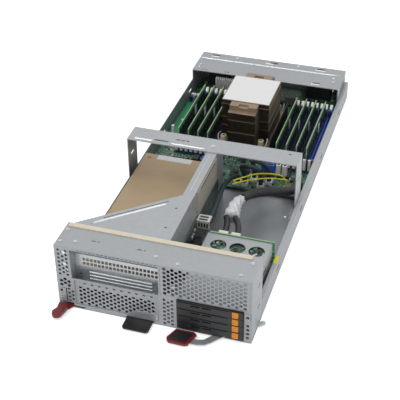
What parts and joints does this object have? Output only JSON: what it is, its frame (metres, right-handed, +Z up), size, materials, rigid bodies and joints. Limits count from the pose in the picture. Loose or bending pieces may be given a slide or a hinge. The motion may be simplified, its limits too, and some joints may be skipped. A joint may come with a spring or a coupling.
{
  "type": "blade server",
  "caption": "Open blade server with a tall front section, accelerator card, drive trays, memory and cooler.",
  "frame": {"origin": "centre of the chassis floor's underside", "axes": "+Z up, +X to the right along the front face, +Y from the front face to the rear"},
  "size_m": [0.2548, 0.618, 0.0932],
  "materials": {
    "steel": "satin",
    "bright_steel": "satin",
    "gasket": "matt",
    "copper": "satin",
    "card_gold": "matt",
    "dark_fins": "satin",
    "bare_aluminium": "satin",
    "board": "satin",
    "black_plastic": "matt",
    "orange_plastic": "gloss",
    "red_plastic": "satin",
    "white_plastic": "satin",
    "navy_plastic": "satin",
    "cable_teal": "satin",
    "cable_black": "matt",
    "wire_yellow": "satin"
  },
  "bodies": {
    "chassis": {"base_tray": "steel", "front_cage": "steel", "front_bezel": "steel", "intake_grille": "steel", "emi_gasket": "gasket", "bay_shroud": "steel", "vent_bracket": "bright_steel", "blank_bracket": "bright_steel", "lower_bay_cover": "steel", "bracket_clamp": "bright_steel", "control_panel": "steel", "bridge_bracket": "steel", "rear_bracket": "steel", "riser_bracket": "steel", "riser_side_plate": "bright_steel", "riser_board": "board", "card_backplate": "card_gold", "card_board": "board", "card_shroud": "black_plastic", "mainboard": "board", "board_standoffs": "bright_steel", "drive_cage": "steel", "drive_backplane": "board", "cable_connectors": "white_plastic", "cpu_socket": "bare_aluminium", "cooler_base_plate": "copper", "cooler_fins": "dark_fins", "cooler_nuts": "bright_steel", "cooler_caps": "copper", "memory_slots": "navy_plastic", "memory_modules": "board", "regulator_heatsink": "bare_aluminium", "air_guide": "black_plastic", "rear_connectors": "black_plastic", "board_chips": "black_plastic", "data_cables": "cable_teal", "power_cable": "cable_black", "signal_wires": "wire_yellow", "cable_wrap": "white_plastic", "lever_pivots": "bright_steel", "case_screws": "bright_steel"},
    "left_lever": {"left_lever": "red_plastic"},
    "right_lever": {"right_lever_arm": "bright_steel", "right_lever_grip": "red_plastic"},
    "pull_tab": {"pull_tab": "black_plastic"},
    "power_button": {"power_button": "black_plastic"},
    "front_latches": {"front_latches": "white_plastic"},
    "rear_latches": {"rear_latches": "white_plastic"},
    "tray_1": {"drive_tray_1": "black_plastic", "drive_1": "bare_aluminium"},
    "latch_1": {"tray_latch_1": "orange_plastic"},
    "tray_2": {"drive_tray_2": "black_plastic", "drive_2": "bare_aluminium"},
    "latch_2": {"tray_latch_2": "orange_plastic"},
    "tray_3": {"drive_tray_3": "black_plastic", "drive_3": "bare_aluminium"},
    "latch_3": {"tray_latch_3": "orange_plastic"},
    "tray_4": {"drive_tray_4": "black_plastic", "drive_4": "bare_aluminium"},
    "latch_4": {"tray_latch_4": "orange_plastic"}
  },
  "joints": [
    {"name": "left_lever_swing", "type": "hinge", "parent": "chassis", "child": "left_lever", "pos_m": [-0.1, -0.281, 0.0015], "axis": [0, 0, 1], "range_deg": [0, 40]},
    {"name": "right_lever_swing", "type": "hinge", "parent": "chassis", "child": "right_lever", "pos_m": [0.097, -0.285, 0.0015], "axis": [0, 0, 1], "range_deg": [0, 55]},
    {"name": "pull_tab_slide", "type": "slide", "parent": "chassis", "child": "pull_tab", "axis": [0, -1, 0], "range_m": [0, 0.03]},
    {"name": "power_button_press", "type": "slide", "parent": "chassis", "child": "power_button", "axis": [0, 1, 0], "range_m": [0, 0.001], "stiffness_N_per_m": 400},
    {"name": "front_latches_open", "type": "hinge", "parent": "chassis", "child": "front_latches", "pos_m": [0, 0.06, 0.0102], "axis": [1, 0, 0], "range_deg": [0, 25]},
    {"name": "rear_latches_open", "type": "hinge", "parent": "chassis", "child": "rear_latches", "pos_m": [0, 0.214, 0.0102], "axis": [-1, 0, 0], "range_deg": [0, 25]},
    {"name": "tray_1_slide", "type": "slide", "parent": "chassis", "child": "tray_1", "axis": [0, -1, 0], "range_m": [0, 0.115]},
    {"name": "latch_1_open", "type": "hinge", "parent": "tray_1", "child": "latch_1", "pos_m": [0.1033, -0.2969, 0.01], "axis": [0, 0, 1], "range_deg": [0, 60]},
    {"name": "tray_2_slide", "type": "slide", "parent": "chassis", "child": "tray_2", "axis": [0, -1, 0], "range_m": [0, 0.115]},
    {"name": "latch_2_open", "type": "hinge", "parent": "tray_2", "child": "latch_2", "pos_m": [0.1033, -0.2969, 0.0204], "axis": [0, 0, 1], "range_deg": [0, 60]},
    {"name": "tray_3_slide", "type": "slide", "parent": "chassis", "child": "tray_3", "axis": [0, -1, 0], "range_m": [0, 0.115]},
    {"name": "latch_3_open", "type": "hinge", "parent": "tray_3", "child": "latch_3", "pos_m": [0.1033, -0.2969, 0.0308], "axis": [0, 0, 1], "range_deg": [0, 60]},
    {"name": "tray_4_slide", "type": "slide", "parent": "chassis", "child": "tray_4", "axis": [0, -1, 0], "range_m": [0, 0.115]},
    {"name": "latch_4_open", "type": "hinge", "parent": "tray_4", "child": "latch_4", "pos_m": [0.1033, -0.2969, 0.0412], "axis": [0, 0, 1], "range_deg": [0, 60]}
  ]
}
